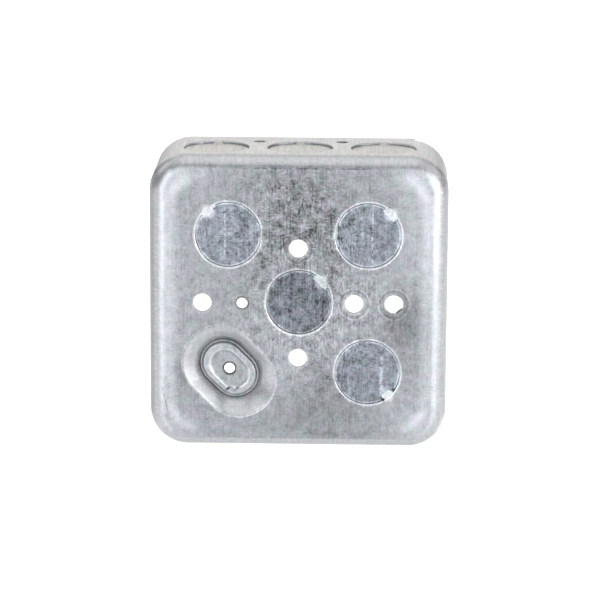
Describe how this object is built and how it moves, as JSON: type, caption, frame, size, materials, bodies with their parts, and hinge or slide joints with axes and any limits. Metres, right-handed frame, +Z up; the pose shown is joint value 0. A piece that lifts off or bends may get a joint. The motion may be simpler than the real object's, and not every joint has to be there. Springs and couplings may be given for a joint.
{
  "type": "electrical junction box",
  "caption": "Square drawn steel outlet box, open at the front, with tied round knockouts, a raised ground pad, folded screw ears and cover screws.",
  "frame": {"origin": "centre of the outside of the back, midway between the upper and lower mounting holes", "axes": "+Y goes from the back into the box and out of its open side, +Z is up as the box stands, +X is to the right for someone who looks at the back"},
  "size_m": [0.1016, 0.0426, 0.1016],
  "materials": {
    "galvanised_box": "satin",
    "galvanised_knockout": "satin",
    "zinc_screw": "satin"
  },
  "bodies": {
    "box": {"box_shell": "galvanised_box"},
    "knockout_back_upper_left": {"knockout_back_upper_left": "galvanised_knockout"},
    "knockout_back_upper_right": {"knockout_back_upper_right": "galvanised_knockout"},
    "knockout_back_middle": {"knockout_back_middle": "galvanised_knockout"},
    "knockout_back_lower_right": {"knockout_back_lower_right": "galvanised_knockout"},
    "knockout_top_left": {"knockout_top_left": "galvanised_knockout"},
    "knockout_top_middle": {"knockout_top_middle": "galvanised_knockout"},
    "knockout_top_right": {"knockout_top_right": "galvanised_knockout"},
    "knockout_right_upper": {"knockout_right_upper": "galvanised_knockout"},
    "knockout_right_middle": {"knockout_right_middle": "galvanised_knockout"},
    "knockout_right_lower": {"knockout_right_lower": "galvanised_knockout"},
    "knockout_bottom_right": {"knockout_bottom_right": "galvanised_knockout"},
    "knockout_bottom_middle": {"knockout_bottom_middle": "galvanised_knockout"},
    "knockout_bottom_left": {"knockout_bottom_left": "galvanised_knockout"},
    "knockout_left_lower": {"knockout_left_lower": "galvanised_knockout"},
    "knockout_left_middle": {"knockout_left_middle": "galvanised_knockout"},
    "knockout_left_upper": {"knockout_left_upper": "galvanised_knockout"},
    "cover_screw_upper_right": {"cover_screw_upper_right": "zinc_screw"},
    "cover_screw_lower_left": {"cover_screw_lower_left": "zinc_screw"}
  },
  "joints": [
    {"name": "knockout_back_upper_left_push", "type": "hinge", "parent": "box", "child": "knockout_back_upper_left", "pos_m": [-0.03094, 0.0016, 0.03231], "axis": [0.766, 0, 0.6428], "range_deg": [0, 35]},
    {"name": "knockout_back_upper_right_push", "type": "hinge", "parent": "box", "child": "knockout_back_upper_right", "pos_m": [0.03166, 0.0016, 0.03166], "axis": [0.7071, 0, -0.7071], "range_deg": [0, 35]},
    {"name": "knockout_back_middle_push", "type": "hinge", "parent": "box", "child": "knockout_back_middle", "pos_m": [0.00843, 0.0016, 0.00808], "axis": [0.682, 0, -0.7314], "range_deg": [0, 35]},
    {"name": "knockout_back_lower_right_push", "type": "hinge", "parent": "box", "child": "knockout_back_lower_right", "pos_m": [0.03109, 0.0016, -0.03218], "axis": [-0.7547, 0, -0.6561], "range_deg": [0, 35]},
    {"name": "knockout_top_left_push", "type": "hinge", "parent": "box", "child": "knockout_top_left", "pos_m": [-0.0286, 0.02971, 0.0492], "axis": [1, 0, 0], "range_deg": [0, 35]},
    {"name": "knockout_top_middle_push", "type": "hinge", "parent": "box", "child": "knockout_top_middle", "pos_m": [0, 0.02971, 0.0492], "axis": [1, 0, 0], "range_deg": [0, 35]},
    {"name": "knockout_top_right_push", "type": "hinge", "parent": "box", "child": "knockout_top_right", "pos_m": [0.0286, 0.02971, 0.0492], "axis": [1, 0, 0], "range_deg": [0, 35]},
    {"name": "knockout_right_upper_push", "type": "hinge", "parent": "box", "child": "knockout_right_upper", "pos_m": [0.0492, 0.02971, 0.0286], "axis": [0, 0, -1], "range_deg": [0, 35]},
    {"name": "knockout_right_middle_push", "type": "hinge", "parent": "box", "child": "knockout_right_middle", "pos_m": [0.0492, 0.02971, 0], "axis": [0, 0, -1], "range_deg": [0, 35]},
    {"name": "knockout_right_lower_push", "type": "hinge", "parent": "box", "child": "knockout_right_lower", "pos_m": [0.0492, 0.02971, -0.0286], "axis": [0, 0, -1], "range_deg": [0, 35]},
    {"name": "knockout_bottom_right_push", "type": "hinge", "parent": "box", "child": "knockout_bottom_right", "pos_m": [0.0286, 0.02971, -0.0492], "axis": [-1, 0, 0], "range_deg": [0, 35]},
    {"name": "knockout_bottom_middle_push", "type": "hinge", "parent": "box", "child": "knockout_bottom_middle", "pos_m": [0, 0.02971, -0.0492], "axis": [-1, 0, 0], "range_deg": [0, 35]},
    {"name": "knockout_bottom_left_push", "type": "hinge", "parent": "box", "child": "knockout_bottom_left", "pos_m": [-0.0286, 0.02971, -0.0492], "axis": [-1, 0, 0], "range_deg": [0, 35]},
    {"name": "knockout_left_lower_push", "type": "hinge", "parent": "box", "child": "knockout_left_lower", "pos_m": [-0.0492, 0.02971, -0.0286], "axis": [0, 0, 1], "range_deg": [0, 35]},
    {"name": "knockout_left_middle_push", "type": "hinge", "parent": "box", "child": "knockout_left_middle", "pos_m": [-0.0492, 0.02971, 0], "axis": [0, 0, 1], "range_deg": [0, 35]},
    {"name": "knockout_left_upper_push", "type": "hinge", "parent": "box", "child": "knockout_left_upper", "pos_m": [-0.0492, 0.02971, 0.0286], "axis": [0, 0, 1], "range_deg": [0, 35]},
    {"name": "cover_screw_upper_right_travel", "type": "slide", "parent": "box", "child": "cover_screw_upper_right", "axis": [0, 1, 0], "range_m": [-0.00195, 0.0076]},
    {"name": "cover_screw_lower_left_travel", "type": "slide", "parent": "box", "child": "cover_screw_lower_left", "axis": [0, 1, 0], "range_m": [-0.00195, 0.0076]}
  ]
}
